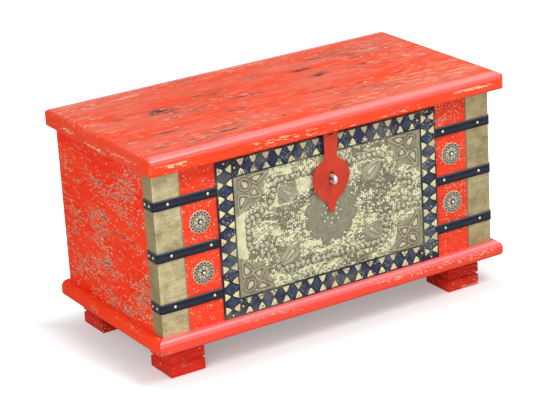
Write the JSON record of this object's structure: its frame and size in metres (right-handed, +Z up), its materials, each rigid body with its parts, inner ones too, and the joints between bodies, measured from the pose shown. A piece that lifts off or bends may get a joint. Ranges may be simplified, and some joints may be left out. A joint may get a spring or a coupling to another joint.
{
  "type": "storage chest",
  "caption": "Painted wooden storage chest with a hinged lid, brass corners under iron straps, an embossed brass front panel and a hasp.",
  "frame": {"origin": "on the floor, under the middle of the lid", "axes": "+X to the chest's right seen from in front, +Y to its back, +Z up; the front with the hasp faces -Y"},
  "size_m": [0.8, 0.412, 0.455],
  "materials": {
    "painted_wood": "worn red paint, satin",
    "bare_wood": "bare, matt",
    "sheet_brass": "plain pale brass sheet, satin",
    "strap_iron": "dark blue-black painted iron",
    "bright_nail": "bright domed nail",
    "rosette_brass": "antique brass, pierced",
    "mosaic_ground": "dark blue ground, satin",
    "mosaic_tile": "cream inlay, satin",
    "embossed_brass": "embossed brass with a pale wash",
    "ornament_brass": "antique brass, embossed",
    "staple_steel": "bright wire",
    "painted_iron": "red painted iron, satin",
    "hinge_brass": "plain brass"
  },
  "bodies": {
    "chest": {"back_panel": "painted_wood", "bottom_board": "bare_wood", "corner_brass_left": "sheet_brass", "corner_brass_right": "sheet_brass", "corner_dowels": "bare_wood", "corner_ornaments": "ornament_brass", "embossed_panel": "embossed_brass", "foot_back_left": "painted_wood", "foot_back_right": "painted_wood", "foot_dowels": "bare_wood", "foot_front_left": "painted_wood", "foot_front_right": "painted_wood", "frame_bottom": "mosaic_ground", "frame_left": "mosaic_ground", "frame_nails": "bright_nail", "frame_right": "mosaic_ground", "frame_top": "mosaic_ground", "front_panel": "painted_wood", "hinge_leaf_chest_left": "hinge_brass", "hinge_leaf_chest_right": "hinge_brass", "hinge_pin_left": "hinge_brass", "hinge_pin_right": "hinge_brass", "hinge_screws_chest": "hinge_brass", "medallion": "ornament_brass", "mosaic_tiles": "mosaic_tile", "plinth_back": "painted_wood", "plinth_front": "painted_wood", "plinth_left": "painted_wood", "plinth_right": "painted_wood", "rosette_left_lower": "rosette_brass", "rosette_left_upper": "rosette_brass", "rosette_nails": "bright_nail", "rosette_right_lower": "rosette_brass", "rosette_right_upper": "rosette_brass", "side_panel_left": "painted_wood", "side_panel_right": "painted_wood", "staple": "staple_steel", "staple_plate": "ornament_brass", "strap_left_lower": "strap_iron", "strap_left_middle": "strap_iron", "strap_left_upper": "strap_iron", "strap_nails": "bright_nail", "strap_right_lower": "strap_iron", "strap_right_middle": "strap_iron", "strap_right_upper": "strap_iron"},
    "lid": {"lid_board": "painted_wood", "lid_cleat_left": "bare_wood", "lid_cleat_right": "bare_wood", "hinge_leaf_lid_left": "hinge_brass", "hinge_leaf_lid_right": "hinge_brass", "hinge_screws_lid": "hinge_brass", "hasp_leaf": "painted_iron", "hasp_pin": "staple_steel", "hasp_leaf_screws": "hinge_brass"},
    "hasp": {"hasp": "painted_iron"}
  },
  "joints": [
    {"name": "lid_hinge", "type": "hinge", "parent": "chest", "child": "lid", "pos_m": [0, 0.2032, 0.42], "axis": [-1, 0, 0], "range_deg": [0, 100]},
    {"name": "hasp_hinge", "type": "hinge", "parent": "lid", "child": "hasp", "pos_m": [0, -0.188, 0.416], "axis": [-1, 0, 0], "range_deg": [0, 85]}
  ]
}
